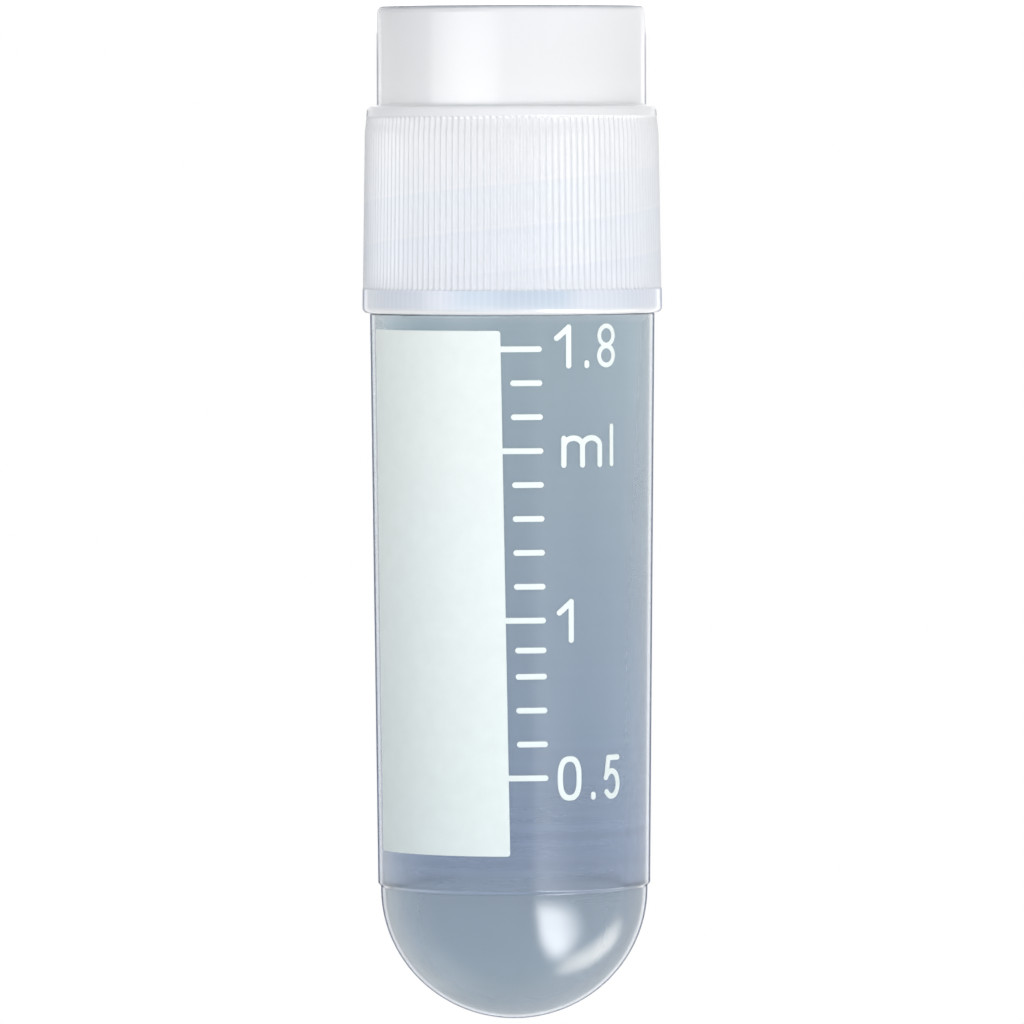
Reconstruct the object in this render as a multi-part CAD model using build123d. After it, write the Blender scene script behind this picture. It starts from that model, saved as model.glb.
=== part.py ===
"""Screw-capped freezer vial of 1.8 ml, with a round bottom.

The vial stands upside down on the flat top of its cap, because its own bottom is round.
Z = 0 is the top of the cap, +Z runs to the round bottom, and -Y is the front, where the
scale is printed. Everything is in millimetres, and angles are in degrees.
"""
from build123d import *
import math
import os

# --- Tube: one moulding in polypropylene ---
bore_d = 9.54               # inside the mouth
bore_draft = 0.14           # each side, the bore narrows towards the bottom
neck_wall = 0.55
rim_bevel = 0.12
body_wall = 1.25            # just under the neck, where the body is widest
body_draft = 0.605          # each side
body_length = 24.09         # from the shoulder to the step above the round bottom
step_depth = 0.116
step_height = 0.25
bottom_depth = 5.53         # of the half ellipse outside
bottom_wall = 1.3
shoulder_round = 0.25

# --- Thread: right-handed, two starts, the same on the neck and in the cap ---
thread_lead = 3.65
thread_starts = 2
ridge_height = 0.31
flank_run = 0.2             # how much wider a ridge is at its root than at mid height
flank_clearance = 0.175     # between the ridges of neck and cap, along the axis
thread_clearance = 0.07     # between a crest and the wall that it faces
neck_thread_length = 4.8
neck_thread_below_rim = 1.7
cap_thread_length = 4.6
cap_thread_above_mouth = 1.4

# --- Cap: one moulding in polypropylene ---
crown_height = 4.2
crown_round = 0.45
crown_wall = 1.3            # round the recess, which is the seat of a coloured coding disc
crown_foot_round = 0.2
ledge_flat = 0.02           # left between the rounds of the crown's foot and the skirt's top
skirt_round = 0.18
recess_bevel = 0.2
web_thickness = 1.4
web_below_ledge = 0.14      # how far the ceiling lies past the crown's foot
skirt_wall = 0.645          # at the plain band round the mouth
skirt_height = 8.71
skirt_draft = 0.9           # each side, wider towards the mouth
lead_in_depth = 0.11        # the skirt's top draws in by this much more
lead_in_height = 1.15
mouth_round = 0.22
mouth_bevel = 0.2
ribs = 140
rib_depth = 0.12
rib_inset = 0.012           # crests lie this far under the plain rings above and below
rib_top_gap = 0.43          # from the ledge to the ribs
band_height = 0.98          # plain ring between the ribs and the mouth
boss_wall = 1.0             # ring that centres the gasket and enters the bore
boss_height = 1.5
boss_bevel = 0.3

# --- Gasket: silicone ring between the cap's ceiling and the tube's rim ---
gasket_thickness = 0.8
gasket_bevel = 0.12
gasket_boss_clearance = 0.05
gasket_wall_clearance = 0.05
gasket_overhang = 0.15      # past the rim of the neck
seat_length = 0.9           # of the narrow stretch of wall round the gasket

# --- Print: white ink on the front of the tube ---
ink_thickness = 0.04
ink_lift = 0.01             # hairline between ink and tube
panel_below_shoulder = 0.59
panel_length = 22.01
panel_edge_angle = 5.2      # from the front, where the panel begins at its top
panel_span = 68.0
print_lean = 0.34           # sideways shift of the panel's edge from its top to its bottom
marks_below_panel_top = 0.77
mark_count = 14             # from 1.8 ml down to 0.5 ml
mark_step = 1.419           # between two marks, 0.1 ml apart
narrow_steps = {9: 1.25, 10: 1.1}
long_marks = (0, 3, 8, 13)  # 1.8, 1.5, 1.0 and 0.5 ml
mark_width = 0.24
mark_gap_angle = 3.9        # between the panel's edge and a short mark
mark_end_angle = 16.2       # between the panel's edge and the far end of a mark

# --- Fits and cuts ---
skirt_gap = 0.1             # between the cap's mouth and the tube's shoulder
root_sink = 0.08            # how far a ridge reaches into the wall that carries it
cut_past = 1.0              # how far a cut starts outside the face that it opens
front_angle = -90.0         # of -Y, where the angles of the print start

# --- Sizes that follow ---
bore_r = bore_d / 2
neck_r = bore_r + neck_wall
neck_crest_r = neck_r + ridge_height
cap_bore_r = neck_crest_r + thread_clearance
cap_crest_r = neck_r + thread_clearance
body_r = bore_r + body_wall
boss_r = bore_r - gasket_overhang * 2 - gasket_boss_clearance * 2
gasket_inner_r = boss_r + gasket_boss_clearance
gasket_outer_r = neck_r + gasket_overhang
seat_r = gasket_outer_r + gasket_wall_clearance
skirt_r = cap_bore_r + skirt_wall

ceiling_z = crown_height + web_below_ledge
recess_depth = ceiling_z - web_thickness
lead_in_z = crown_height + lead_in_height
ribs_low_z = crown_height + rib_top_gap
mouth_z = crown_height + skirt_height
ribs_high_z = mouth_z - band_height
rim_z = ceiling_z + gasket_thickness
shoulder_z = mouth_z + skirt_gap
step_z = shoulder_z + body_length
dome_z = step_z + step_height
bottom_z = dome_z + bottom_depth
panel_top_z = shoulder_z + panel_below_shoulder
panel_bottom_z = panel_top_z + panel_length

thread_pitch = thread_lead / thread_starts
ridge_mean_width = thread_pitch / 2 - flank_clearance
ridge_root_width = ridge_mean_width + flank_run
ridge_crest_width = ridge_mean_width - flank_run
neck_phase_z = rim_z + neck_thread_below_rim + ridge_root_width / 2
cap_phase_z = neck_phase_z + thread_pitch / 2


def slope(draft):
    """Change of radius for each millimetre of height."""
    return math.tan(math.radians(draft))


def body_radius(z):
    """Outside radius of the tapered body at height z."""
    return body_r - slope(body_draft) * (z - shoulder_z)


def bore_radius(z):
    """Radius of the tapered bore at height z."""
    return bore_r - slope(bore_draft) * (z - rim_z)


def skirt_radius(z):
    """Radius of the cap's plain skirt at height z, drawn in towards the ledge."""
    drawn_in = lead_in_depth * max(0, lead_in_z - z) / lead_in_height
    return skirt_r - slope(skirt_draft) * (mouth_z - z) - drawn_in


ledge_r = skirt_radius(crown_height)
crown_r = ledge_r - skirt_round - ledge_flat - crown_foot_round
recess_r = crown_r - crown_wall


def outline(points, rounds=(), bevels=()):
    """Closed outline through (r, z) points, with a round or a bevel at some of its corners."""
    face = make_face(Polyline(*points, close=True))
    for ease, corners in ((fillet, rounds), (chamfer, bevels)):
        for corner, size in corners:
            vertex = face.vertices().sort_by_distance(Vector(*corner, 0))[0]
            face = ease(vertex, size)
    return face


def turned(face):
    """Solid of revolution about Z from an (r, z) outline."""
    return revolve(Plane.XZ * face, axis=Axis.Z)


def quarter_ellipse(radius, depth, z):
    """Outline from the axis to the radius, closed by an elliptical arc that ends on the axis."""
    arc = EllipticalCenterArc((0, z), radius, depth, start_angle=0, arc_size=90)
    return make_face(arc + Polyline((0, z + depth), (0, z), (radius, z)))


def thread_ridges(root_r, crest_r, low_z, length, phase_z):
    """One ridge for each start, swept along its helix, with its root sunk into the wall.

    The ridges climb from low_z over the given length. Their middles pass through phase_z at
    angle 0, or a whole number of pitches from it.
    """
    outward = 1 if crest_r > root_r else -1
    flank_slope = flank_run * 2 / ridge_height
    sunk_half = ridge_root_width / 2 + flank_slope * root_sink / 2
    sunk_r = root_r - outward * root_sink
    first_z = low_z + ridge_root_width / 2
    turn = 360 * (first_z - phase_z) / thread_lead
    path = Helix(thread_lead, length - ridge_root_width, sunk_r)
    section = make_face(Polyline(
        (sunk_r, 0, -sunk_half),
        (crest_r, 0, -ridge_crest_width / 2),
        (crest_r, 0, ridge_crest_width / 2),
        (sunk_r, 0, sunk_half),
        close=True,
    ))
    ridge = Pos(0, 0, first_z) * sweep(section, path=path, is_frenet=True)
    return [ridge.rotate(Axis.Z, turn + 360 * n / thread_starts) for n in range(thread_starts)]


def make_tube():
    """Threaded neck, tapered body, a small step and a half-ellipse bottom, around one bore."""
    dome_r = body_radius(step_z) - step_depth
    outside = turned(outline(
        [
            (0, rim_z),
            (neck_r, rim_z),
            (neck_r, shoulder_z),
            (body_r, shoulder_z),
            (body_radius(step_z), step_z),
            (dome_r, dome_z),
            (0, dome_z),
        ],
        rounds=[((body_r, shoulder_z), shoulder_round)],
        bevels=[((neck_r, rim_z), rim_bevel)],
    ))
    dome = turned(quarter_ellipse(dome_r, bottom_depth, dome_z))
    open_z = rim_z - cut_past
    bore = turned(outline([
        (0, open_z), (bore_radius(open_z), open_z), (bore_radius(step_z), step_z), (0, step_z),
    ]))
    bore_end = turned(quarter_ellipse(bore_radius(step_z), bottom_z - bottom_wall - step_z, step_z))
    low_z = rim_z + neck_thread_below_rim
    ridges = thread_ridges(neck_r, neck_crest_r, low_z, neck_thread_length, neck_phase_z)
    return (outside + dome + ridges) - bore - bore_end


def make_rib_core():
    """Ribbed stretch of the skirt, with one sharp crest for each rib, in two tapers."""
    sections = []
    for z in (ribs_low_z, lead_in_z, ribs_high_z):
        crest = skirt_radius(z) - rib_inset
        radii = (crest, crest - rib_depth)
        corners = [
            Vector(radii[n % 2], 0, z).rotate(Axis.Z, 180 * n / ribs) for n in range(2 * ribs)
        ]
        sections.append(make_face(Polyline(*corners, close=True)))
    return [loft(pair, ruled=True) for pair in (sections[:2], sections[1:])]


def make_cap():
    """Recessed crown, ribbed skirt with plain rings, and inside it a boss and the thread."""
    core_r = skirt_radius(ribs_low_z) - rib_inset - rib_depth - root_sink
    outside = turned(outline(
        [
            (0, 0),
            (crown_r, 0),
            (crown_r, crown_height),
            (ledge_r, crown_height),
            (skirt_radius(ribs_low_z), ribs_low_z),
            (core_r, ribs_low_z),
            (core_r, ribs_high_z),
            (skirt_radius(ribs_high_z), ribs_high_z),
            (skirt_r, mouth_z),
            (0, mouth_z),
        ],
        rounds=[
            ((crown_r, 0), crown_round),
            ((crown_r, crown_height), crown_foot_round),
            ((ledge_r, crown_height), skirt_round),
            ((skirt_r, mouth_z), mouth_round),
        ],
    ))
    recess = turned(outline([
        (0, 0), (recess_r + recess_bevel, 0), (recess_r, recess_bevel),
        (recess_r, recess_depth), (0, recess_depth),
    ]))
    boss_end_z = ceiling_z + boss_height
    seat_z = ceiling_z + seat_length
    inside = turned(outline(
        [
            (0, ceiling_z),
            (boss_r - boss_wall, ceiling_z),
            (boss_r - boss_wall, boss_end_z),
            (boss_r, boss_end_z),
            (boss_r, ceiling_z),
            (seat_r, ceiling_z),
            (seat_r, seat_z),
            (cap_bore_r, seat_z),
            (cap_bore_r, mouth_z - mouth_bevel),
            (cap_bore_r + mouth_bevel, mouth_z),
            (0, mouth_z),
        ],
        bevels=[((boss_r, boss_end_z), boss_bevel)],
    ))
    low_z = mouth_z - cap_thread_above_mouth - cap_thread_length
    ridges = thread_ridges(cap_bore_r, cap_crest_r, low_z, cap_thread_length, cap_phase_z)
    return (outside + make_rib_core()) - recess - inside + ridges


def make_gasket():
    """Flat silicone ring with bevelled edges, pressed between the ceiling and the rim."""
    corners = [
        (gasket_inner_r, ceiling_z),
        (gasket_outer_r, ceiling_z),
        (gasket_outer_r, rim_z),
        (gasket_inner_r, rim_z),
    ]
    return turned(outline(corners, bevels=[(corner, gasket_bevel) for corner in corners]))


def ink_patch(low_z, high_z, from_angle, to_angle):
    """Layer of ink on the tapered body. Angles run from the front towards +X."""
    strip = outline([
        (body_radius(z) + ink_lift + out, z)
        for z, out in ((low_z, 0), (low_z, ink_thickness), (high_z, ink_thickness), (high_z, 0))
    ])
    patch = revolve(Plane.XZ * strip, axis=Axis.Z, revolution_arc=to_angle - from_angle)
    return patch.rotate(Axis.Z, front_angle + from_angle)


def panel_edge_x(z):
    """Sideways place of the panel's edge at height z, on a straight line that leans a little."""
    top_x = body_radius(panel_top_z) * math.sin(math.radians(panel_edge_angle))
    return top_x - print_lean * (z - panel_top_z) / panel_length


def panel_edge_at(z):
    """Angle of the panel's edge from the front, at height z."""
    return math.degrees(math.asin(panel_edge_x(z) / body_radius(z)))


def mark_heights():
    """Height of each mark, counted from the top of the scale."""
    heights = [panel_top_z + marks_below_panel_top]
    for number in range(1, mark_count):
        heights.append(heights[-1] + narrow_steps.get(number, mark_step))
    return heights


def mark(z, start_past_edge):
    """One mark across the front, from an angle past the panel's edge to the marks' far end."""
    edge = panel_edge_at(z)
    half = mark_width / 2
    return ink_patch(z - half, z + half, edge - mark_end_angle, edge + start_past_edge)


def make_writing_panel():
    """White field to write on, with a leaning edge that the long marks grow out of."""
    edge_angles = (panel_edge_at(panel_top_z), panel_edge_at(panel_bottom_z))
    from_angle = min(edge_angles) - mark_gap_angle
    field = ink_patch(panel_top_z, panel_bottom_z, from_angle, edge_angles[0] + panel_span)
    low_z = panel_top_z - cut_past
    high_z = panel_bottom_z + cut_past
    beside = make_face(Polyline(
        (panel_edge_x(low_z), low_z),
        (panel_edge_x(high_z), high_z),
        (-2 * body_r, high_z),
        (-2 * body_r, low_z),
        close=True,
    ))
    field = field - extrude(Plane.XZ * beside, amount=2 * body_r)
    heights = mark_heights()
    return field + [mark(heights[number], mark_gap_angle) for number in long_marks]


def make_volume_marks():
    """Short marks of the scale, printed clear of the panel."""
    return Compound([
        mark(z, -mark_gap_angle) for number, z in enumerate(mark_heights()) if number not in long_marks
    ])


def main():
    """Write one STEP file for each piece."""
    os.makedirs("parts", exist_ok=True)
    pieces = {
        "cap": make_cap(),
        "sealing_gasket": make_gasket(),
        "vial_tube": make_tube(),
        "writing_panel": make_writing_panel(),
        "volume_marks": make_volume_marks(),
    }
    for name, piece in pieces.items():
        export_step(piece, f"parts/{name}.step")


main()
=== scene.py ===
"""Screw-capped freezer vial of 1.8 ml, standing on the flat top of its cap."""
import bpy
import math
import numpy as np
from mathutils import Matrix, Vector


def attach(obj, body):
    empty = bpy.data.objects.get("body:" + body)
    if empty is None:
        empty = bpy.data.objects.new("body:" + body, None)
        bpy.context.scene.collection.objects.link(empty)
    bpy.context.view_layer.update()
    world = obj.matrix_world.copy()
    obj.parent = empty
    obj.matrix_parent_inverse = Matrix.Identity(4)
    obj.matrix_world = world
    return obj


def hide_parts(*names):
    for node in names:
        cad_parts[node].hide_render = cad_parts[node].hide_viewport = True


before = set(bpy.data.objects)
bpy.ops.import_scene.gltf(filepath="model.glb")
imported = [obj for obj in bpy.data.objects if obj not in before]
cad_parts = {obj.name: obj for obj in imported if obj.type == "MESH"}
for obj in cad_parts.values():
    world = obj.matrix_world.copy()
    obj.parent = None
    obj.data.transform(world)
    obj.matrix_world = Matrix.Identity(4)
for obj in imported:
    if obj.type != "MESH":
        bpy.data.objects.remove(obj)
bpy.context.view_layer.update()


# ---------------------------------------------------------------- tube
# The tube is one moulding in natural polypropylene, half clear and a cool grey in the hand.
# It has a threaded neck, a tapered body, a small step and a round bottom, and a polished skin.
MM = 0.001                      # sizes are in millimetres and drafts in degrees; meshes in metres
RIM_Z, SHOULDER_Z, STEP_Z, DOME_Z, BOTTOM_Z = 5.14, 13.01, 37.10, 37.35, 42.88
NECK_R, BODY_R, BODY_DRAFT, DOME_R = 5.32, 6.02, 0.605, 5.65
BORE_R, BORE_DRAFT, BORE_END_Z = 4.77, 0.14, 41.58
RIM_ROUND_IN, RIM_ROUND_OUT = 0.1, 0.12
SHOULDER_LIFT, SHOULDER_FILLET, SHOULDER_ROUND = 0.05, 0.15, 0.07
STEP_HEIGHT, STEP_ROUND = 0.13, 0.05
DOME_FIRST_IN, DOME_FIRST_UP = 0.002, 0.12              # where the dome's first row lies
LEAD, PITCH = 3.65, 1.825                               # two starts
RIDGE_HEIGHT, RIDGE_ROOT, RIDGE_CREST, RIDGE_FADE = 0.31, 0.9375, 0.5375, 0.12
NECK_PHASE_Z, NECK_THREAD, NECK_ROW_GAP, NECK_THREAD_CLEAR_Z = 7.309, (6.84, 11.64), 0.1, 12.0
TUBE_COLUMNS, BORE_END_ROWS, DOME_ROWS = 432, 25, 41


def body_radius(z):
    """Outside radius of the body at height z: it shrinks evenly away from the shoulder."""
    return BODY_R - math.tan(math.radians(BODY_DRAFT)) * (z - SHOULDER_Z)


def bore_radius(z):
    """Radius of the bore at height z: it shrinks evenly away from the rim."""
    return BORE_R - math.tan(math.radians(BORE_DRAFT)) * (z - RIM_Z)


def smooth(t):
    """Eases from 0 to 1 as 3 t squared minus 2 t cubed, held at both ends."""
    t = np.clip(t, 0.0, 1.0)
    return t * t * (3.0 - 2.0 * t)


def contour(corners, step=0.8, arc_steps=5, flat_from=0.12, near_end=0.03):
    """Line through (r, z, round) corners. A corner's arc starts and ends at
    round * tan(half its turn) from it, and straight stretches are cut into even steps. One
    that is longer than flat_from has a row close to each end, which keeps its shading flat."""
    parts = [np.array([corners[0][:2]])]
    for i in range(1, len(corners)):
        here = np.array(corners[i][:2])
        last = parts[-1][-1]
        if i == len(corners) - 1 or corners[i][2] == 0:
            end, arc = here, None
        else:
            there = np.array(corners[i + 1][:2])
            before = (here - last) / np.linalg.norm(here - last)
            after = (there - here) / np.linalg.norm(there - here)
            turn = math.acos(float(np.clip(before @ after, -1, 1)))
            back = corners[i][2] * math.tan(turn / 2)
            end = here - before * back
            side = 1.0 if before[0] * after[1] - before[1] * after[0] > 0 else -1.0
            normal = side * np.array([-before[1], before[0]])
            swing = np.linspace(0, turn, arc_steps + 1)[1:, None]
            arc = end + corners[i][2] * (np.sin(swing) * before + (1 - np.cos(swing)) * normal)
        length = np.linalg.norm(end - last)
        count = max(1, math.ceil(length / step))
        share = np.linspace(0, 1, count + 1)[1:]
        if length > flat_from:
            share = np.unique(np.concatenate(
                [[near_end / length], share, [1 - near_end / length]]))
        parts.append(last + share[:, None] * (end - last))
        if arc is not None:
            parts.append(arc)
    return np.concatenate(parts)


def new_piece(name, points, faces, smooth_shaded=True):
    """Piece at the origin, from an array of points in metres and its faces' corners."""
    mesh = bpy.data.meshes.new(name)
    mesh.from_pydata(points.tolist(), [], faces)
    if smooth_shaded:
        mesh.polygons.foreach_set("use_smooth", np.ones(len(mesh.polygons), dtype=bool))
    piece = bpy.data.objects.new(name, mesh)
    bpy.context.scene.collection.objects.link(piece)
    return piece


def lathe(name, r, z, angles, lined):
    """Closed skin turned about Z. Row i and column j give the point
    (r cos a, r sin a, z), and the first and last rows are single points on the axis. The
    faces after each row that is lined take the piece's second material."""
    rows, columns = r.shape
    points = np.stack([r * np.cos(angles), r * np.sin(angles), z], axis=-1) * MM
    poles = [[0, 0, z[0, 0] * MM], [0, 0, z[-1, 0] * MM]]
    inner = points[1:-1].reshape(-1, 3)
    grid = np.arange((rows - 2) * columns).reshape(rows - 2, columns)
    beside = np.roll(grid, -1, axis=1)
    quads = np.stack([grid[:-1], beside[:-1], beside[1:], grid[1:]], axis=-1).reshape(-1, 4)
    first_pole, last_pole = len(inner), len(inner) + 1
    first = np.stack([np.full(columns, first_pole), beside[0], grid[0]], axis=-1)
    last = np.stack([np.full(columns, last_pole), grid[-1], beside[-1]], axis=-1)
    piece = new_piece(name, np.concatenate([inner, poles]),
                      quads.tolist() + first.tolist() + last.tolist())
    finish = np.repeat(np.concatenate([lined[1:-2], lined[:1], lined[-2:-1]]), columns)
    piece.data.polygons.foreach_set("material_index", finish.astype(np.int32))
    return piece


def thread_height(z, angles, phase_z, reach):
    """How far a two-start thread stands out of its wall, from 0 to 1. A ridge's middle climbs
    by LEAD for each turn; the height falls from the crest's edge to the root's edge, and
    fades where the ridge begins and ends."""
    climb = phase_z + LEAD * angles / (2 * math.pi)
    middle = climb + PITCH * np.round((z - climb) / PITCH)
    away = np.abs(z - middle)
    ridge = smooth((RIDGE_ROOT / 2 - away) / (RIDGE_ROOT / 2 - RIDGE_CREST / 2))
    begin, end = reach[0] + RIDGE_ROOT / 2, reach[1] - RIDGE_ROOT / 2
    return (ridge * smooth((middle - begin) / RIDGE_FADE + 0.5)
            * smooth((end - middle) / RIDGE_FADE + 0.5))


# The line runs from the bore's closed end down the bore, round the rim and up the outside.
round_tube = np.linspace(0, 2 * math.pi, TUBE_COLUMNS, endpoint=False)
swing = np.linspace(0, math.pi / 2, BORE_END_ROWS)
bore_end = np.stack([bore_radius(STEP_Z) * np.sin(swing),
                     STEP_Z + (BORE_END_Z - STEP_Z) * np.cos(swing)], axis=-1)
wall = contour([(bore_radius(STEP_Z), STEP_Z, 0), (bore_radius(RIM_Z), RIM_Z, RIM_ROUND_IN),
                (NECK_R, RIM_Z, RIM_ROUND_OUT),
                (NECK_R, NECK_THREAD[0] - NECK_ROW_GAP, 0)], step=1.2)[1:]
thread_z = np.arange(NECK_THREAD[0], NECK_THREAD[1] + NECK_ROW_GAP, NECK_ROW_GAP)
threaded = np.stack([np.full_like(thread_z, NECK_R), thread_z], axis=-1)
body = contour([(NECK_R, NECK_THREAD[1] + 2 * NECK_ROW_GAP, 0),
                (NECK_R, SHOULDER_Z - SHOULDER_LIFT, SHOULDER_FILLET),
                (BODY_R, SHOULDER_Z - SHOULDER_LIFT, SHOULDER_ROUND),
                (body_radius(STEP_Z), STEP_Z, STEP_ROUND),
                (DOME_R, STEP_Z + STEP_HEIGHT, STEP_ROUND),
                (DOME_R - DOME_FIRST_IN, DOME_Z + DOME_FIRST_UP, 0)], step=0.9)
swing = np.linspace(math.pi / 2, 0, DOME_ROWS)[2:]
dome = np.stack([DOME_R * np.sin(swing), DOME_Z + (BOTTOM_Z - DOME_Z) * np.cos(swing)], axis=-1)
tube_line = np.concatenate([bore_end, wall, threaded, body, dome])
tube_r = np.repeat(tube_line[:, :1], len(round_tube), axis=1)
tube_z = np.repeat(tube_line[:, 1:], len(round_tube), axis=1)
outside = np.arange(len(tube_line)) >= len(bore_end) + len(wall)
on_neck = outside[:, None] & (tube_z < NECK_THREAD_CLEAR_Z)
tube_r = tube_r + np.where(on_neck, RIDGE_HEIGHT, 0.0) * thread_height(
    tube_z, round_tube, NECK_PHASE_Z, NECK_THREAD)
bored = ~outside & (tube_line[:, 0] < BORE_R)
tube = lathe("tube_wall", tube_r, tube_z, round_tube, bored)
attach(tube, "tube")
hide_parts("vial_tube")


def set_inputs(tree, node, inputs):
    """Gives each named or numbered input of a node its value, or links a socket to it."""
    for key, value in inputs.items():
        if isinstance(value, bpy.types.NodeSocket):
            tree.links.new(value, node.inputs[key])
        else:
            node.inputs[key].default_value = value


def add_node(tree, kind, inputs, **settings):
    """New node with its settings and inputs. It gives back the node's outputs."""
    node = tree.nodes.new(kind)
    for name, value in settings.items():
        setattr(node, name, value)
    set_inputs(tree, node, inputs)
    return node.outputs


# Moulded plastic is never quite even. The group gives a cloudy mask of two sizes, from 0 to 1,
# whose mean is a half. A large Stretch draws the clouds out along the axis, a small one flat.
clouds = bpy.data.node_groups.new("moulding_clouds", "ShaderNodeTree")
for socket, kind in (("Place", "NodeSocketVector"), ("Scale", "NodeSocketFloat"),
                     ("Stretch", "NodeSocketFloat")):
    clouds.interface.new_socket(name=socket, in_out="INPUT", socket_type=kind)
clouds.interface.new_socket(name="Mask", in_out="OUTPUT", socket_type="NodeSocketFloat")
given = add_node(clouds, "NodeGroupInput", {})
squeeze = add_node(clouds, "ShaderNodeMath", {0: 1.0, 1: given["Stretch"]}, operation="DIVIDE")
squeezed_axis = add_node(clouds, "ShaderNodeCombineXYZ", {"X": 1.0, "Y": 1.0, "Z": squeeze[0]})
drawn = add_node(clouds, "ShaderNodeVectorMath", {0: given["Place"], 1: squeezed_axis[0]},
                 operation="MULTIPLY")
cloud = add_node(clouds, "ShaderNodeTexNoise",
                 {"Vector": drawn[0], "Scale": given["Scale"], "Detail": 3.0})
widened = add_node(clouds, "ShaderNodeMapRange",
                   {"Value": cloud[0], "From Min": 0.25, "From Max": 0.75})
add_node(clouds, "NodeGroupOutput", {"Mask": widened[0]})


def new_material(name):
    """Material with its node tree and its shader."""
    material = bpy.data.materials.new(name)
    material.use_nodes = True
    return material, material.node_tree, material.node_tree.nodes["Principled BSDF"]


def place_on_piece(tree):
    """Place of each point of the surface, in metres."""
    return add_node(tree, "ShaderNodeTexCoord", {})["Object"]


def cloudy(tree, place, scale, stretch=1.0):
    """Mask of the clouds on one material, with so many clouds to a metre."""
    return add_node(tree, "ShaderNodeGroup", {"Place": place, "Scale": scale, "Stretch": stretch},
                    node_tree=clouds)["Mask"]


def ranged(tree, value, low, high, to_low, to_high, **settings):
    """Number that goes from to_low to to_high as the value goes from low to high."""
    return add_node(tree, "ShaderNodeMapRange",
                    {"Value": value, "From Min": low, "From Max": high,
                     "To Min": to_low, "To Max": to_high}, **settings)[0]


def between(tree, mask, low, high):
    """Number that goes evenly from low to high as the mask goes from 0 to 1."""
    return ranged(tree, mask, 0.0, 1.0, low, high)


def arithmetic(tree, operation, first, second=0.0):
    """One step of arithmetic on one or two numbers or sockets."""
    return add_node(tree, "ShaderNodeMath", {0: first, 1: second}, operation=operation)[0]


def tinted(tree, colour, shade):
    """Colour multiplied by a number that changes over the surface."""
    return add_node(tree, "ShaderNodeVectorMath", {0: colour, "Scale": shade},
                    operation="SCALE")[0]


def colours_along(tree, value, low, high, points):
    """Colour ramp over a value that runs from low to high; points are (value, colour)."""
    share = ranged(tree, value, low, high, 0.0, 1.0)
    ramp = tree.nodes.new("ShaderNodeValToRGB")
    stops = ramp.color_ramp.elements
    while len(stops) < len(points):
        stops.new(0.5)
    for stop, (at, colour) in zip(stops, points):
        stop.position = (at - low) / (high - low)
        stop.color = (*colour, 1)
    tree.links.new(share, ramp.inputs[0])
    return ramp.outputs[0]


# The tint on the outside is faint on the thin neck. Down the body it deepens as painted shade, a
# thin darker band on the step is a painted shade line, and it grows lighter again towards the tip
# of the round bottom.
POLYPROPYLENE_IOR = 1.49
natural, tree, skin = new_material("half_clear_polypropylene")
place = place_on_piece(tree)
height = add_node(tree, "ShaderNodeSeparateXYZ", {0: place})["Z"]
tint_and_painted_shade = colours_along(tree, height, 0.010, 0.043, (
    (0.0100, (0.86, 0.89, 0.92)), (0.0126, (0.80, 0.85, 0.90)),         # neck
    (0.0133, (0.42, 0.53, 0.60)), (0.0215, (0.365, 0.455, 0.54)),       # body
    (0.0300, (0.33, 0.42, 0.54)), (0.0357, (0.285, 0.36, 0.50)), (0.03706, (0.30, 0.37, 0.49)),
    (0.03712, (0.25, 0.31, 0.40)), (0.03722, (0.25, 0.31, 0.40)),       # step
    (0.0373, (0.32, 0.395, 0.48)), (0.0395, (0.34, 0.42, 0.51)),        # round bottom
    (0.0430, (0.40, 0.49, 0.57))))
# Fine level rings run round the lower body, left by the tool that turned the mould.
rings = add_node(tree, "ShaderNodeTexNoise", {"W": height, "Scale": 2600.0, "Detail": 0.0},
                 noise_dimensions="1D")[0]
ringed_part = colours_along(tree, height, 0.030, 0.043, (
    (0.030, (0.1, 0.1, 0.1)), (0.034, (1, 1, 1)), (0.0368, (1, 1, 1)), (0.038, (0, 0, 0))))
ringed = arithmetic(tree, "MULTIPLY", between(tree, rings, -0.11, 0.11), ringed_part)
marbled = arithmetic(tree, "ADD", ringed,
                     between(tree, cloudy(tree, place, 220.0, 2.5), 0.96, 1.04))
set_inputs(tree, skin, {
    "Base Color": tinted(tree, tint_and_painted_shade, marbled),
    "Roughness": between(tree, cloudy(tree, place, 300.0), 0.12, 0.15),
    "IOR": POLYPROPYLENE_IOR,
    "Transmission Weight": 0.84,
    "Subsurface Weight": 1.0,
    "Subsurface Radius": (1.0, 1.0, 1.0),
    "Subsurface Scale": 0.001})
tube.data.materials.append(natural)

# The bore is the print of a polished core pin: clear, with a slightly softer gloss.
core, tree, lining = new_material("polished_bore")
set_inputs(tree, lining, {
    "Base Color": (0.97, 0.98, 0.99, 1),
    "Roughness": between(tree, cloudy(tree, place_on_piece(tree), 300.0), 0.17, 0.21),
    "IOR": POLYPROPYLENE_IOR,
    "Transmission Weight": 1.0})
tube.data.materials.append(core)


# ---------------------------------------------------------------- printed panel and scale
# White ink, screen-printed on the front of the finished tube and cured: a field to write on,
# long marks that grow out of it, short marks, and numerals in a plain drawn letter.
INK_LIFT, INK_THICK, OVERLAP_LIFT = 0.012, 0.032, 0.003
PANEL_TOP_Z, PANEL_LENGTH, PANEL_CORNER, PRINT_LEAN = 13.60, 22.01, 0.12, 0.34
PANEL_EDGE, PANEL_SPAN = 4.8, 66.8                      # degrees round the tube
PANEL_ROWS, PANEL_COLUMNS, CORNER_ROWS, FIRST_ROW = 30, 41, 6, 0.6
MARK_GAP, MARK_END = 3.6, 16.4                          # degrees from the panel's edge
MARK_WIDTH, MARK_ROOT, FIRST_MARK = 0.24, 0.3, 0.77
LONG_MARKS = (0, 3, 8, 13)
TENTH_STEP, NARROW_STEPS = 1.419, [1.25, 1.1]           # from one mark to the next
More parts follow.
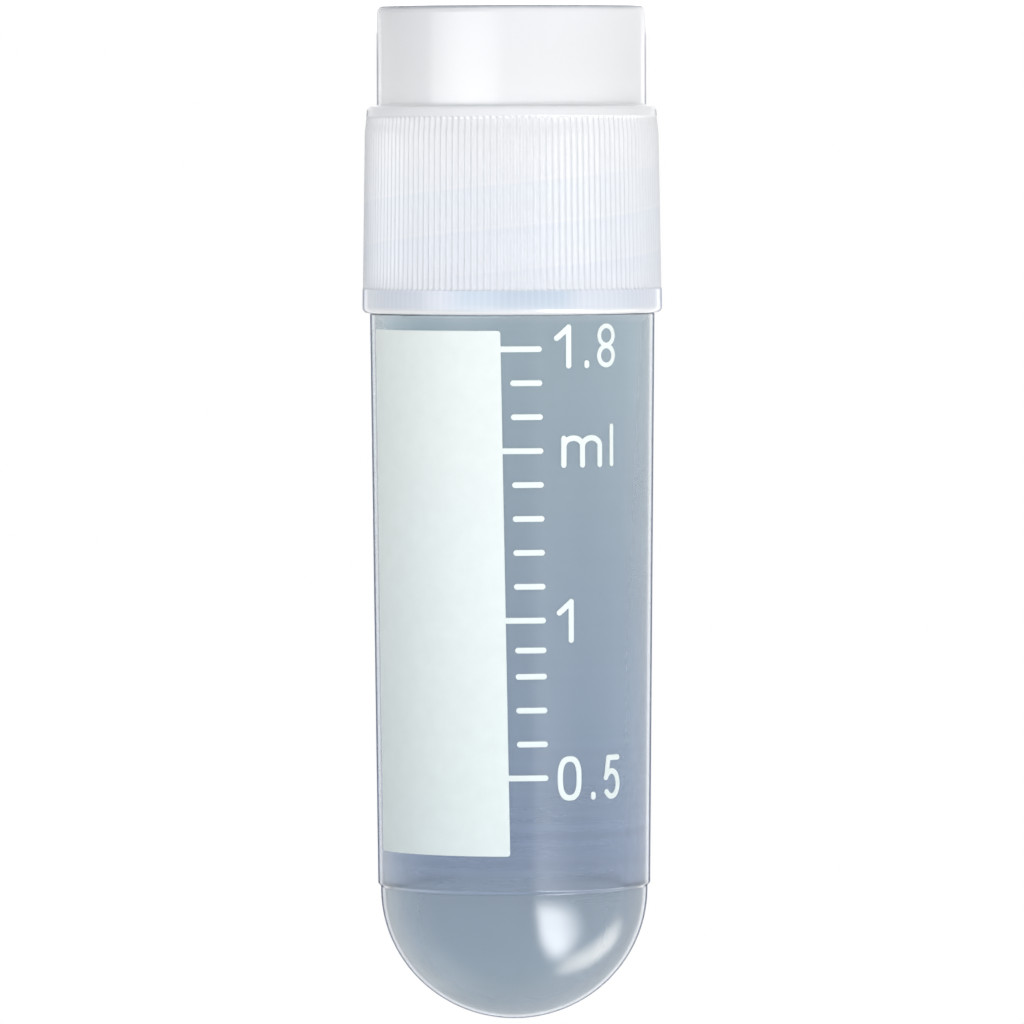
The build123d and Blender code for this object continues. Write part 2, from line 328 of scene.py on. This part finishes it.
STROKE, THIN_STROKE, THIN_RING = 0.23, 0.19, 0.20
STROKE_POINTS, END_POINTS, RING_POINTS, STROKE_COLUMNS = 12, 5, 49, 4

ink, tree, cover = new_material("white_ink")
place = place_on_piece(tree)
height = add_node(tree, "ShaderNodeSeparateXYZ", {0: place})["Z"]
# The ink's greenish white darkens towards the bottom of the panel: painted shade.
ink_and_painted_shade = colours_along(tree, height, 0.013, 0.037, (
    (0.013, (0.83, 0.89, 0.865)), (0.024, (0.79, 0.86, 0.845)), (0.036, (0.71, 0.79, 0.79))))
set_inputs(tree, cover, {
    "Base Color": tinted(tree, ink_and_painted_shade, between(tree, cloudy(tree, place, 1500.0), 0.98, 1.02)),
    "Roughness": between(tree, cloudy(tree, place, 2500.0), 0.5, 0.62)})


def on_tube(across, up, base_z, lift):
    """Places flat print on the taper. Across is an arc length to the reader's right, up is
    towards the cap, and the angle from the front is across over the radius at that height."""
    z = base_z - up
    r = body_radius(z)
    angle = across / r
    r = r + lift
    return np.stack([-r * np.sin(angle), -r * np.cos(angle), z], axis=-1) * MM


def patch(name, grids):
    """Thin sheets of ink: each grid of points becomes quads that face the reader, and a
    Solidify builds the layer's thickness outwards."""
    points, faces, start = [], [], 0
    for grid in grids:
        rows, columns = grid.shape[:2]
        index = np.arange(rows * columns).reshape(rows, columns) + start
        faces.append(np.stack([index[:-1, :-1], index[:-1, 1:], index[1:, 1:], index[1:, :-1]],
                              axis=-1).reshape(-1, 4))
        points.append(grid.reshape(-1, 3))
        start += rows * columns
    piece = new_piece(name, np.concatenate(points), np.concatenate(faces).tolist(),
                      smooth_shaded=False)
    layer = piece.modifiers.new("layer", "SOLIDIFY")
    layer.thickness = INK_THICK * MM
    layer.offset = 1.0
    piece.data.materials.append(ink)
    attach(piece, "tube")
    return piece


def stroke(x, y, width=STROKE):
    """Ribbon along a centre line: each point goes half the width to both sides, square to the
    line's own direction, and past both ends the half width falls off as a circle's does."""
    way = np.stack([np.gradient(x), np.gradient(y)], axis=-1)
    way /= np.linalg.norm(way, axis=1, keepdims=True)
    half = np.full(len(x), width / 2)
    bend = np.linspace(0, 0.98 * math.pi / 2, END_POINTS + 1)[1:]
    past, thin = width / 2 * np.sin(bend), width / 2 * np.cos(bend)
    line = np.stack([x, y], axis=-1)
    line = np.concatenate([line[0] - past[::-1, None] * way[0], line,
                           line[-1] + past[:, None] * way[-1]])
    way = np.concatenate([np.repeat(way[:1], END_POINTS, 0), way,
                          np.repeat(way[-1:], END_POINTS, 0)])
    half = np.concatenate([thin[::-1], half, thin])
    side = np.stack([way[:, 1], -way[:, 0]], axis=-1)
    share = np.linspace(-1, 1, STROKE_COLUMNS)[None, :, None]
    return line[:, None] + share * half[:, None, None] * side[:, None]


def ring(x, y, a, b, power=2.0, width=STROKE):
    """Closed ribbon along a rounded oval: its points are a |cos|^(2/power) and
    b |sin|^(2/power) from the middle, and half the width lies to each side."""
    t = np.linspace(0, 2 * math.pi, RING_POINTS)
    c, s = np.cos(t), np.sin(t)
    spread = []
    for side in np.linspace(1, -1, STROKE_COLUMNS):
        grow = side * width / 2
        spread.append(np.stack([x + (a + grow) * np.sign(c) * np.abs(c) ** (2 / power),
                                y + (b + grow) * np.sign(s) * np.abs(s) ** (2 / power)], axis=-1))
    return np.stack(spread, axis=1)


def line_between(x0, y0, x1, y1):
    """Points at even steps on a straight line."""
    return np.linspace(x0, x1, STROKE_POINTS), np.linspace(y0, y1, STROKE_POINTS)


def edge_x(z):
    """Arc from the front to the panel's leaning edge at height z."""
    top = math.radians(PANEL_EDGE) * body_radius(PANEL_TOP_Z)
    return -(top - PRINT_LEAN * (z - PANEL_TOP_Z) / PANEL_LENGTH)


# The field's first and last rows stand close together and draw in by a quarter circle.
ends = PANEL_CORNER * (1 - np.cos(np.linspace(0, math.pi / 2, CORNER_ROWS)))
down = np.concatenate([ends, np.linspace(FIRST_ROW, PANEL_LENGTH - FIRST_ROW, PANEL_ROWS),
                       PANEL_LENGTH - ends[::-1]])
close = np.minimum(down, PANEL_LENGTH - down)
inset = PANEL_CORNER - np.sqrt(np.maximum(
    PANEL_CORNER ** 2 - np.maximum(PANEL_CORNER - close, 0) ** 2, 0))
field_z = PANEL_TOP_Z + down[::-1]
inset = inset[::-1]
right = edge_x(field_z) - inset
left = -math.radians(PANEL_EDGE + PANEL_SPAN) * body_radius(field_z) + inset
share = np.linspace(0, 1, PANEL_COLUMNS)
across = left[:, None] + share * (right - left)[:, None]
field = on_tube(across, np.zeros_like(across), field_z[:, None] + 0 * across, INK_LIFT)

# There is a mark for each tenth of a millilitre, and a closer pair of steps below the 1.
mark_z = PANEL_TOP_Z + FIRST_MARK + np.concatenate([[0], np.cumsum(
    [TENTH_STEP] * 8 + NARROW_STEPS + [TENTH_STEP] * 3)])
bars, dashes = [field], []
for number, z in enumerate(mark_z):
    edge = edge_x(z)
    r = body_radius(z)
    is_long = number in LONG_MARKS
    start = edge - MARK_ROOT if is_long else edge + math.radians(MARK_GAP) * r
    x, y = line_between(start + MARK_WIDTH / 2, 0,
                        edge + math.radians(MARK_END) * r - MARK_WIDTH / 2, 0)
    ribbon = stroke(x, y, MARK_WIDTH)
    (bars if is_long else dashes).append(on_tube(
        ribbon[..., 0], ribbon[..., 1], z, INK_LIFT + (OVERLAP_LIFT if is_long else 0)))
panel = patch("printed_panel", bars)
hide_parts("writing_panel")
scale_marks = patch("printed_marks", dashes)
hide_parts("volume_marks")

# Each sign is a list of strokes in millimetres, with its foot on the base line.
FOOT, ARCH_FOOT = STROKE / 2, 0.9
one = [line_between(0, FOOT, 0, 1.73), line_between(-0.53, 1.27, -0.02, 1.7)]
dot = [line_between(0, FOOT, 0, 0.22)]
belly = np.linspace(math.radians(150), math.radians(-140), 28)
five = [line_between(0.34, 1.74, -0.2, 1.74), line_between(-0.2, 1.74, -0.3, 0.98),
        (-0.02 + 0.37 * np.cos(belly), 0.64 + 0.53 * np.sin(belly))]
arch = np.linspace(math.pi, 0, 16)
letter_m = [line_between(0, FOOT, 0, 1.23), line_between(0.86, FOOT, 0.86, ARCH_FOOT),
            line_between(1.72, FOOT, 1.72, ARCH_FOOT),
            (0.43 + 0.43 * np.cos(arch), ARCH_FOOT + 0.34 * np.sin(arch)),
            (1.29 + 0.43 * np.cos(arch), ARCH_FOOT + 0.34 * np.sin(arch))]
letter_l = [stroke(*line_between(0, FOOT, 0, 1.72), THIN_STROKE)]
eight = [ring(0, 0.52, 0.39, 0.40, width=THIN_RING),
         ring(0, 1.36, 0.38, 0.40, width=THIN_STROKE)]
nought = [ring(0, 0.93, 0.43, 0.815, power=2.6)]
# A word is its piece's name, its base line, and its signs with how far right of the front.
words = [
    ("numeral_1_8", mark_z[0] + 0.82, [(one, 2.40), (dot, 3.25), (eight, 4.28)]),
    ("letters_ml", mark_z[3] + 0.72, [(letter_m, 2.17), (letter_l, 4.54)]),
    ("numeral_1", mark_z[8] + 0.96, [(one, 2.48)]),
    ("numeral_0_5", mark_z[13] + 0.97, [(nought, 2.41), (dot, 3.52), (five, 4.53)]),
]
for name, base_z, signs in words:
    sheets = []
    for shapes, right_by in signs:
        for number, shape in enumerate(shapes):
            ribbon = shape if isinstance(shape, np.ndarray) else stroke(*shape)
            sheets.append(on_tube(ribbon[..., 0] + right_by, ribbon[..., 1], base_z,
                                  INK_LIFT + OVERLAP_LIFT * number))
    patch(name, sheets)


# ---------------------------------------------------------------- gasket
# A flat silicone ring, cut from soft milky sheet. It lies round the cap's boss, and the
# tube's rim presses it against the cap's ceiling.
CEILING_Z, GASKET_IN, GASKET_OUT, GASKET_ROUND = 4.34, 4.42, 5.47, 0.12
GASKET_MIDDLE_Z, GASKET_COLUMNS, SILICONE_IOR = 4.74, 120, 1.41
loop = contour([(GASKET_IN, GASKET_MIDDLE_Z, 0), (GASKET_IN, CEILING_Z, GASKET_ROUND),
                (GASKET_OUT, CEILING_Z, GASKET_ROUND), (GASKET_OUT, RIM_Z, GASKET_ROUND),
                (GASKET_IN, RIM_Z, GASKET_ROUND), (GASKET_IN, GASKET_MIDDLE_Z, 0)], step=0.4)[:-1]


def hoop(name, line, angles):
    """Closed skin turned about Z from a closed (r, z) loop: rows and columns both join up."""
    r, z = line[:, :1], line[:, 1:] + 0 * angles
    points = np.stack([r * np.cos(angles), r * np.sin(angles), z], axis=-1) * MM
    grid = np.arange(r.shape[0] * len(angles)).reshape(r.shape[0], len(angles))
    beside, above = np.roll(grid, -1, axis=1), np.roll(grid, -1, axis=0)
    quads = np.stack([grid, beside, np.roll(above, -1, axis=1), above], axis=-1)
    return new_piece(name, points.reshape(-1, 3), quads.reshape(-1, 4).tolist())


gasket = hoop("gasket_ring", loop, np.linspace(0, 2 * math.pi, GASKET_COLUMNS, endpoint=False))
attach(gasket, "gasket")
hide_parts("sealing_gasket")
silicone, tree, soft = new_material("milky_silicone")
milkiness = cloudy(tree, place_on_piece(tree), 1200.0)
set_inputs(tree, soft, {
    "Base Color": colours_along(tree, milkiness, 0.0, 1.0, (
        (0.0, (0.60, 0.60, 0.57)), (1.0, (0.68, 0.68, 0.65)))),
    "Roughness": between(tree, milkiness, 0.45, 0.6),
    "IOR": SILICONE_IOR})
gasket.data.materials.append(silicone)


# ---------------------------------------------------------------- cap
# The cap is one moulding in milky natural polypropylene. Its raised crown holds a recess for
# a coding disc, 140 fine ribs give grip between two plain rings, and the thread is inside.
CROWN_R, LEDGE_Z, LEDGE_R, SKIRT_R, MOUTH_Z = 5.698, 4.2, 6.098, 6.345, 12.94
CROWN_ROUND, CROWN_FILLET, LEDGE_ROUND, MOUTH_ROUND = 0.27, 0.06, 0.18, 0.22
SKIRT_DRAFT, LEAD_IN_Z, LEAD_IN_HEIGHT, LEAD_IN_DEPTH = 0.9, 5.35, 1.15, 0.11
RECESS_R, RECESS_DEPTH, RECESS_FILLET, RECESS_ROUND = 4.398, 2.94, 0.1, 0.2
RIBS, RIB_DEPTH, RIB_INSET, RIBS_FROM, RIBS_TO = 140, 0.12, 0.012, 4.63, 11.93
RIB_END, RIB_RUN_OUT, COLUMNS_PER_RIB = 0.04, 0.06, 6
CAP_BORE_R, SEAT_R, SEAT_Z, BOSS_R, BOSS_IN, BOSS_Z = 5.70, 5.52, 5.24, 4.37, 3.37, 5.84
MOUTH_BEVEL, MOUTH_BEVEL_HEIGHT, MOUTH_BEVEL_ROUND = 0.1, 0.2, 0.05
SEAT_ROUND, CEILING_FILLET, BOSS_ROUND, BOSS_ROUND_IN = 0.04, 0.08, 0.2, 0.1
CAP_PHASE_Z, CAP_THREAD, CAP_ROW_GAP, CAP_THREAD_CLEAR_Z = 8.2215, (6.91, 11.51), 0.13, 6.6


def skirt_radius(z):
    """Plain outside of the skirt: an even draft, drawn in by a straight lead near the ledge."""
    drawn_in = LEAD_IN_DEPTH * np.maximum(0, LEAD_IN_Z - z) / LEAD_IN_HEIGHT
    return SKIRT_R - math.tan(math.radians(SKIRT_DRAFT)) * (MOUTH_Z - z) - drawn_in


# The line runs from the recess over the crown, down the skirt and up the inside to the boss.
round_cap = np.linspace(0, 2 * math.pi, COLUMNS_PER_RIB * RIBS, endpoint=False)
crown = contour([(0, RECESS_DEPTH, 0), (RECESS_R, RECESS_DEPTH, RECESS_FILLET),
                 (RECESS_R, 0, RECESS_ROUND), (CROWN_R, 0, CROWN_ROUND),
                 (CROWN_R, LEDGE_Z, CROWN_FILLET), (LEDGE_R, LEDGE_Z, LEDGE_ROUND),
                 (skirt_radius(RIBS_FROM - RIB_END), RIBS_FROM - RIB_END, 0)],
                step=1.4, arc_steps=4)
rib_z = np.array([RIBS_FROM, RIBS_FROM + RIB_END, RIBS_FROM + 0.1, 5.0, 5.3, 5.4, 6.5, 8.0, 9.5,
                  10.8, RIBS_TO - 0.1, RIBS_TO - RIB_END, RIBS_TO])
ribbed = np.stack([skirt_radius(rib_z), rib_z], axis=-1)
foot = contour([(skirt_radius(RIBS_TO + RIB_END), RIBS_TO + RIB_END, 0),
                (SKIRT_R, MOUTH_Z, MOUTH_ROUND),
                (CAP_BORE_R + MOUTH_BEVEL, MOUTH_Z, MOUTH_BEVEL_ROUND),
                (CAP_BORE_R, MOUTH_Z - MOUTH_BEVEL_HEIGHT, MOUTH_BEVEL_ROUND),
                (CAP_BORE_R, CAP_THREAD[1] + 0.15, 0)], step=1.2, arc_steps=4)
thread_z = np.arange(CAP_THREAD[1] + 0.05, CAP_THREAD[0] - 0.1, -CAP_ROW_GAP)
threaded = np.stack([np.full_like(thread_z, CAP_BORE_R), thread_z], axis=-1)
inside = contour([(CAP_BORE_R, CAP_THREAD[0] - 0.25, 0), (CAP_BORE_R, SEAT_Z, SEAT_ROUND),
                  (SEAT_R, SEAT_Z, SEAT_ROUND), (SEAT_R, CEILING_Z, CEILING_FILLET),
                  (BOSS_R, CEILING_Z, CEILING_FILLET), (BOSS_R, BOSS_Z, BOSS_ROUND),
                  (BOSS_IN, BOSS_Z, BOSS_ROUND_IN), (BOSS_IN, CEILING_Z, BOSS_ROUND_IN),
                  (0, CEILING_Z, 0)], step=1.4, arc_steps=3)
cap_line = np.concatenate([crown, ribbed, foot, threaded, inside])
cap_r = np.repeat(cap_line[:, :1], len(round_cap), axis=1)
cap_z = np.repeat(cap_line[:, 1:], len(round_cap), axis=1)
row = np.arange(len(cap_line))[:, None]
after_ribs = len(crown) + len(ribbed)
after_foot = after_ribs + len(foot)
on_ribs = (row >= len(crown)) & (row < after_ribs)
run_out = smooth((cap_z - RIBS_FROM) / RIB_RUN_OUT) * smooth((RIBS_TO - cap_z) / RIB_RUN_OUT)
valley = 0.5 - 0.5 * np.cos(RIBS * round_cap)
cap_r = cap_r - np.where(on_ribs, run_out * (RIB_INSET + RIB_DEPTH * valley), 0)
in_thread = (row >= after_foot) & (cap_z > CAP_THREAD_CLEAR_Z)
cap_r = cap_r - np.where(in_thread, RIDGE_HEIGHT, 0) * thread_height(
    cap_z, round_cap, CAP_PHASE_Z, CAP_THREAD)
cored = row[:, 0] >= after_foot - 2
cap = lathe("cap_shell", cap_r, cap_z, round_cap, cored)
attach(cap, "cap")
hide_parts("cap")


def mixed(tree, kind, share, first, second):
    """Two colours mixed, multiplied or added, by a number or a socket."""
    return add_node(tree, "ShaderNodeMix", {0: share, 6: first, 7: second},
                    data_type="RGBA", blend_type=kind)[2]


CAP_END = 0.013                 # the colours below run from the crown at 0 to the mouth, in metres
milky, tree, shell = new_material("milky_polypropylene")
place = place_on_piece(tree)
parts = add_node(tree, "ShaderNodeSeparateXYZ", {0: place})
height = parts["Z"]
# The first two stops paint the crown's flat top and the start of its edge round a darker
# grey-blue: a painted dark outline of shade.
moulded_and_painted_edge = colours_along(tree, height, 0.0, CAP_END, (
    (0.0, (0.64, 0.67, 0.74)), (0.00007, (0.66, 0.69, 0.75)),           # standing edge
    (0.00016, (0.925, 0.93, 0.94)), (0.003, (0.935, 0.937, 0.94)),      # crown
    (0.0046, (0.93, 0.935, 0.945)), (0.0080, (0.915, 0.932, 0.96)),     # ribs
    (0.01190, (0.885, 0.905, 0.95)), (0.01195, (0.76, 0.81, 0.90)),     # plain band
    (0.01265, (0.80, 0.845, 0.92)), (0.01282, (0.97, 0.975, 0.985)),    # mouth
    (0.0130, (0.97, 0.975, 0.985))))
# The thread behind the ribs is painted on faintly: lighter lines along each ridge and painted
# bluish shade between them.
# The share of a pitch is (z - LEAD * turns - phase) / PITCH, less its whole part.
round_axis = arithmetic(tree, "ARCTAN2", parts["Y"], parts["X"])
climb = arithmetic(tree, "MULTIPLY", round_axis, LEAD / PITCH / (2 * math.pi))
along = arithmetic(tree, "MULTIPLY", arithmetic(tree, "SUBTRACT", height, CAP_PHASE_Z * MM),
                   1 / (PITCH * MM))
pitch_share = arithmetic(tree, "FRACT", arithmetic(tree, "SUBTRACT", along, climb))
painted_thread_shade = colours_along(tree, pitch_share, 0.0, 1.0, (
    (0.0, (1, 1, 1)), (0.05, (1, 1, 1)), (0.10, (0.955, 0.97, 0.99)),
    (0.3, (0.965, 0.98, 0.995)), (0.8, (0.985, 0.99, 0.995)), (1.0, (0.985, 0.99, 0.995))))
thread_zone = colours_along(tree, height, 0.0, CAP_END, (
    (0.0062, (0, 0, 0)), (0.0078, (1, 1, 1)), (0.0110, (1, 1, 1)), (0.0117, (0, 0, 0))))
# Below the ribs the plain band gets faint lighter stripes, one to each rib: painted light and
# shade standing for the ribs.
rib_stripe_wave = arithmetic(tree, "COSINE", arithmetic(tree, "MULTIPLY", round_axis, float(RIBS)))
band_zone = colours_along(tree, height, 0.0, CAP_END, (
    (0.01188, (0, 0, 0)), (0.01196, (1, 1, 1)), (0.0125, (0.8, 0.8, 0.8)), (0.0129, (0, 0, 0))))
painted_rib_stripes = arithmetic(tree, "MULTIPLY", between(tree, rib_stripe_wave, 0.0, 0.05), band_zone)
# The band is painted bluer and darker on its front side: painted shade.
front_painted_shade = colours_along(tree, parts["Y"], -0.0064, -0.0040, (
    (-0.0064, (0.79, 0.86, 0.90)), (-0.0060, (0.81, 0.88, 0.92)), (-0.0056, (1.04, 1.03, 1.02)),
    (-0.0048, (1.04, 1.03, 1.02)), (-0.0040, (1.0, 1.0, 1.0))))
banded = mixed(tree, "MULTIPLY", band_zone, moulded_and_painted_edge, front_painted_shade)
toned = mixed(tree, "MULTIPLY", thread_zone, banded, painted_thread_shade)
cloudiness = between(tree, cloudy(tree, place, 200.0, 1.5), 0.99, 1.01)
set_inputs(tree, shell, {
    "Base Color": tinted(tree, toned, arithmetic(tree, "ADD", painted_rib_stripes, cloudiness)),
    "Roughness": between(tree, cloudy(tree, place, 300.0), 0.16, 0.19),
    "IOR": POLYPROPYLENE_IOR,
    "Transmission Weight": 0.15})
cap.data.materials.append(milky)

# The inside of the cap is clearer, and its walls let the light through to the threads.
clear, tree, cover = new_material("moulded_inside")
set_inputs(tree, cover, {
    "Base Color": (0.96, 0.965, 0.98, 1),
    "Roughness": between(tree, cloudy(tree, place_on_piece(tree), 300.0), 0.14, 0.17),
    "IOR": POLYPROPYLENE_IOR,
    "Transmission Weight": 0.9})
cap.data.materials.append(clear)


# ---------------------------------------------------------------- table and background
# A small pale matt table top with white all round it. The table takes the vial's shadow, and
# it and the background show white in gloss and through clear plastic, as in a lit studio.
TABLE_SIDE, TABLE_GLOW = 0.24, 0.6
bpy.ops.mesh.primitive_plane_add(size=TABLE_SIDE, location=(0, 0, 0))
table = bpy.context.object
table.name = "table_top"
top, tree, paint = new_material("table_white")
ray = add_node(tree, "ShaderNodeLightPath", {})
seen = arithmetic(tree, "MAXIMUM", ray["Is Camera Ray"], ray["Is Glossy Ray"])
seen = arithmetic(tree, "MAXIMUM", seen, ray["Is Transmission Ray"])
set_inputs(tree, paint, {
    "Base Color": (0.85, 0.85, 0.85, 1),
    "Roughness": 0.9,
    "Specular IOR Level": 0.0,
    "Emission Color": (1, 1, 1, 1),
    "Emission Strength": arithmetic(tree, "MULTIPLY", seen, TABLE_GLOW)})
table.data.materials.append(top)

world = bpy.data.worlds.new("studio")
bpy.context.scene.world = world
world.use_nodes = True
tree = world.node_tree
direction = add_node(tree, "ShaderNodeTexCoord", {})["Generated"]
axis = add_node(tree, "ShaderNodeSeparateXYZ", {0: direction})


def eased(tree, value, low, high, to_low=0.0, to_high=1.0):
    """Number that eases from to_low to to_high as the value goes from low to high."""
    return ranged(tree, value, low, high, to_low, to_high, interpolation_type="SMOOTHSTEP")


def towards(tree, direction, aim):
    """Cosine of the angle between a direction and an aim."""
    return add_node(tree, "ShaderNodeVectorMath",
                    {0: direction, 1: Vector(aim).normalized()}, operation="DOT_PRODUCT")["Value"]


# What lights matt surfaces: bright on one side, darker on the other, white far behind.
sides = colours_along(tree, axis["X"], -1, 1, (
    (-1, (0.95, 0.95, 0.96)), (0, (0.72, 0.73, 0.75)), (0.5, (0.37, 0.38, 0.41)),
    (1, (0.05, 0.055, 0.07))))
room_light = mixed(tree, "MIX", ranged(tree, axis["Y"], 0.1, 0.9, 0.0, 1.0), sides,
                   (1.05, 1.05, 1.05, 1))
# What shows through clear plastic: the white backdrop, and a dimmer room in front of it.
backdrop = colours_along(tree, axis["X"], -1, 1, (
    (-1, (1, 1, 1)), (-0.45, (1.1, 1.1, 1.1)), (-0.12, (0.92, 0.92, 0.92)),
    (0.12, (0.92, 0.92, 0.92)), (0.45, (1.1, 1.1, 1.1)), (1, (1, 1, 1))))
through_sides = colours_along(tree, axis["X"], -1, 1, (
    (-1, (1, 1, 1)), (0, (0.66, 0.67, 0.69)), (1, (0.62, 0.63, 0.66))))
through = mixed(tree, "MIX", ranged(tree, axis["Y"], -0.2, 0.6, 0.0, 1.0), through_sides,
                backdrop)
# What gloss reflects: a dark strip at the very edges, with a lit one inside it.
dark_edge = colours_along(tree, axis["Y"], -1, 1, (
    (0.86, (1, 1, 1)), (0.93, (1, 1, 1)), (0.95, (0.10, 0.11, 0.16)), (1.0, (0.10, 0.11, 0.16))))
lit_strip = mixed(tree, "MULTIPLY", 1.0, ranged(tree, axis["Y"], 0.84, 0.88, 1.0, 1.8),
                  ranged(tree, axis["X"], -0.4, 0.4, 1.15, 0.95))
edged = mixed(tree, "MULTIPLY", 1.0, mixed(tree, "MULTIPLY", 1.0, through, dark_edge), lit_strip)
# A pale card on the dark side keeps the clear plastic lit there.
card_span = mixed(tree, "MULTIPLY", 1.0, eased(tree, axis["Y"], -0.3, 0.2),
                  eased(tree, axis["Y"], 0.84, 0.76))
card = mixed(tree, "MULTIPLY", 1.0, eased(tree, axis["X"], 0.2, 0.5), card_span)
edged = mixed(tree, "MULTIPLY", card, edged, (1.5, 1.52, 1.45, 1))
# Two soft windows, high up on one side: a broad one in front and a narrow one further back.
# The broad one has five sides, and each fades over its own width.
corners = [Vector(corner).normalized() for corner in (
    (-0.34, -0.90, 0.25), (-0.33, -0.55, 0.77), (-0.44, -0.19, 0.88), (-0.79, -0.18, 0.58),
    (-0.82, -0.51, 0.25))]
fades = ((-0.10, 0.08), (-0.07, 0.18), (-0.12, 0.26), (-0.10, 0.40), (-0.235, 0.10))
window = (14.5, 14.5, 14.5, 1)
for corner, following, (dark_at, lit_at) in zip(corners, corners[1:] + corners[:1], fades):
    aim = corner.cross(following)
    window = mixed(tree, "MULTIPLY", 1.0, window,
                   eased(tree, towards(tree, direction, aim), dark_at, lit_at))
# The narrow one is a warm slit, which fades along its length and to both sides of its line.
along_slit = eased(tree, towards(tree, direction, (-0.73, 0.14, 0.67)),
                   math.cos(math.radians(30)), math.cos(math.radians(10)), 0.0, 6.5)
off_slit = arithmetic(tree, "ABSOLUTE", towards(tree, direction, (-0.50, -0.77, -0.38)))
slit = mixed(tree, "MULTIPLY", 1.0, along_slit, eased(tree, off_slit, 0.26, 0.05))
reflected = mixed(tree, "ADD", 1.0, mixed(tree, "ADD", 1.0, edged, window),
                  mixed(tree, "MULTIPLY", 1.0, slit, (1.0, 0.94, 0.82, 1)))
ray = add_node(tree, "ShaderNodeLightPath", {})
shown = room_light
for kind, light in (("Is Glossy Ray", reflected), ("Is Transmission Ray", through),
                    ("Is Camera Ray", (1.0, 1.0, 1.0, 1))):
    shown = mixed(tree, "MIX", ray[kind], shown, light)
set_inputs(tree, tree.nodes["Background"], {"Color": shown})


# ---------------------------------------------------------------- lamps and camera
# One large soft lamp stands in front and above, and low ones beside the cap light its gloss.
# The camera stands low and far off, with its head down, so that the cap shows at the top.
def area_lamp(name, place, aim, size, power):
    """Square soft lamp at a place, turned towards a point."""
    lamp = bpy.data.lights.new(name, "AREA")
    lamp.size = size
    lamp.energy = power
    holder = bpy.data.objects.new(name, lamp)
    holder.location = place
    holder.rotation_euler = (Vector(aim) - Vector(place)).to_track_quat("-Z", "Y").to_euler()
    bpy.context.scene.collection.objects.link(holder)
    return holder


front = area_lamp("front_lamp", place=(0.05, -0.455, 0.16), aim=(0, 0, 0.02), size=0.35,
                  power=1.18)
front.visible_camera = front.visible_glossy = front.visible_transmission = False
# The low lamps share one place, each longer than the last and all as bright for their length,
# so that together they make one broad streak with soft ends.
LOW_LAMP_Z, LOW_LAMP_HEIGHT, POWER_PER_METRE = 0.0045, 0.010, 0.125
for number, length in enumerate((0.04, 0.075, 0.11, 0.145, 0.18)):
    low = area_lamp("low_lamp_%d" % (number + 1), place=(0.098, -0.114, LOW_LAMP_Z),
                    aim=(0, 0, LOW_LAMP_Z), size=length, power=POWER_PER_METRE * length)
    low.data.shape, low.data.size_y = "RECTANGLE", LOW_LAMP_HEIGHT
    low.visible_camera = low.visible_diffuse = low.visible_transmission = False

CAMERA_X, CAMERA_Y, CAMERA_Z, AIM_Z, LEAN = 0.00004, -0.424, 0.0050, 0.0214, -0.2
VIEW_WIDTH, VIEW_DISTANCE = 0.04339, 0.4243             # what the view spans at the vial
lens = bpy.data.cameras.new("camera")
camera = bpy.data.objects.new("camera", lens)
bpy.context.scene.collection.objects.link(camera)
bpy.context.scene.camera = camera
stand = Vector((CAMERA_X, CAMERA_Y, CAMERA_Z))
look = (Vector((CAMERA_X, 0, AIM_Z)) - stand).normalized()
lean = math.radians(LEAN)
side = Vector((-math.cos(lean), 0, -math.sin(lean)))
up = side.cross(look).normalized()
side = look.cross(up).normalized()
camera.matrix_world = Matrix.Translation(stand) @ Matrix((side, up, -look)).transposed().to_4x4()
lens.sensor_fit = "HORIZONTAL"
lens.angle = 2 * math.atan(0.5 * VIEW_WIDTH / VIEW_DISTANCE)
lens.clip_start, lens.clip_end = 0.01, 10.0
bpy.context.scene.view_settings.view_transform = "Standard"
